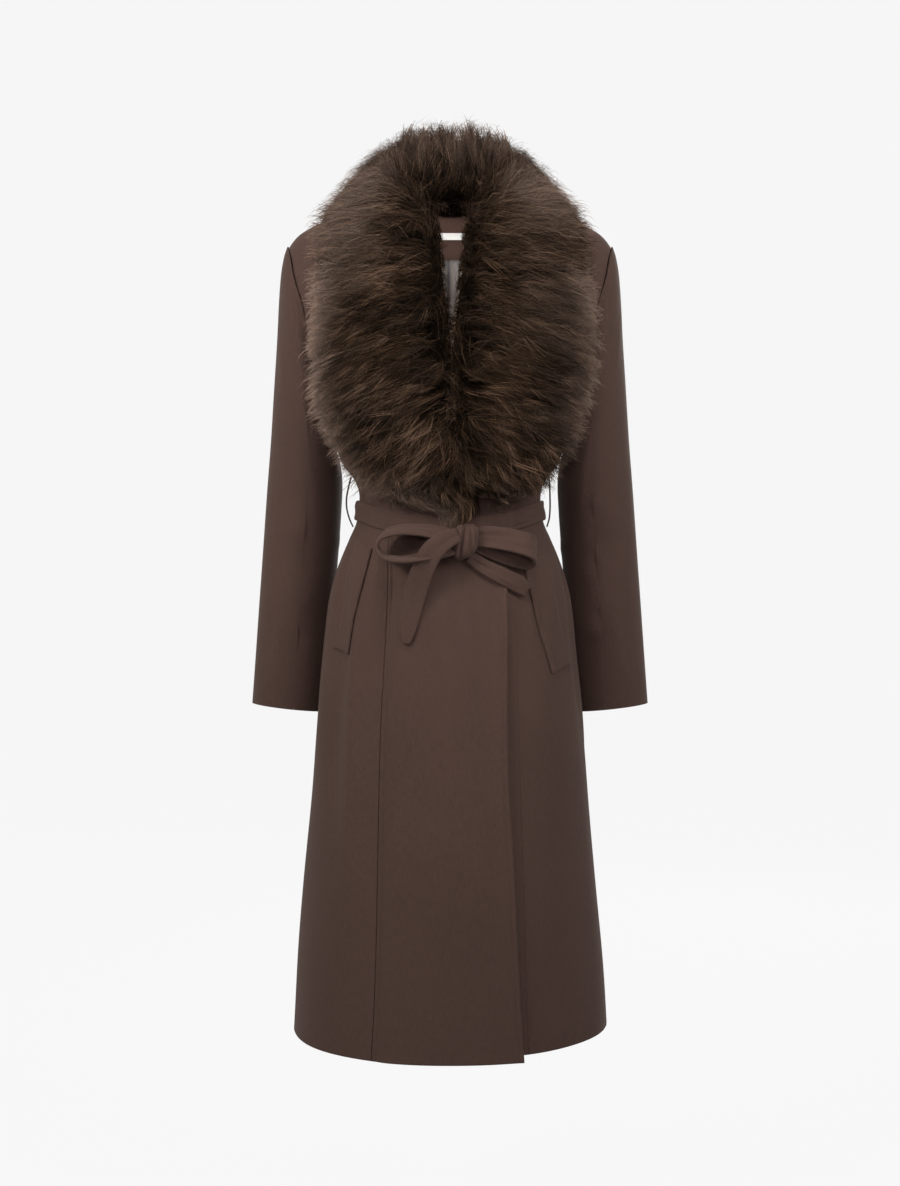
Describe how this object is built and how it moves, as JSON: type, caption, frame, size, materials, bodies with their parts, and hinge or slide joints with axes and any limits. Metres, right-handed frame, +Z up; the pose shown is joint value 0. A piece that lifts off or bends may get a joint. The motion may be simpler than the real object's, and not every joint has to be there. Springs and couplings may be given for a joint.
{
  "type": "fur-collar coat",
  "caption": "Long wrap coat worn hollow, with a deep fur shawl collar, tied belt, slanted welt pockets, panel seams and straight sleeves.",
  "frame": {"origin": "centre of the neck base, midway between the two high shoulder points, where the wearer's shoulders carry the coat", "axes": "+Z up, -Y towards the front, +X towards the wearer's left"},
  "size_m": [0.522, 0.3536, 1.1952],
  "materials": {
    "coat_wool": "dense brushed coating wool, matt with a soft nap",
    "fur_pile": "long brown fur pile with paler tips",
    "lining_satin": "smooth woven lining with a low sheen",
    "label_satin": "woven label, bare"
  },
  "bodies": {
    "root": {"front_right": "coat_wool", "front_left": "coat_wool", "side_front_right": "coat_wool", "side_front_left": "coat_wool", "back": "coat_wool", "back_neck_facing": "coat_wool", "sleeve_top_right": "coat_wool", "sleeve_under_right": "coat_wool", "sleeve_top_left": "coat_wool", "sleeve_under_left": "coat_wool", "pocket_welt_right": "coat_wool", "pocket_welt_left": "coat_wool", "belt_band": "coat_wool", "belt_knot": "coat_wool", "belt_loop_right": "coat_wool", "belt_loop_left": "coat_wool", "belt_tail_right": "coat_wool", "belt_tail_left": "coat_wool", "belt_carrier_right": "coat_wool", "belt_carrier_left": "coat_wool", "fur_collar_right": "fur_pile", "fur_collar_left": "fur_pile", "back_lining": "lining_satin", "neck_label": "label_satin"}
  },
  "joints": []
}
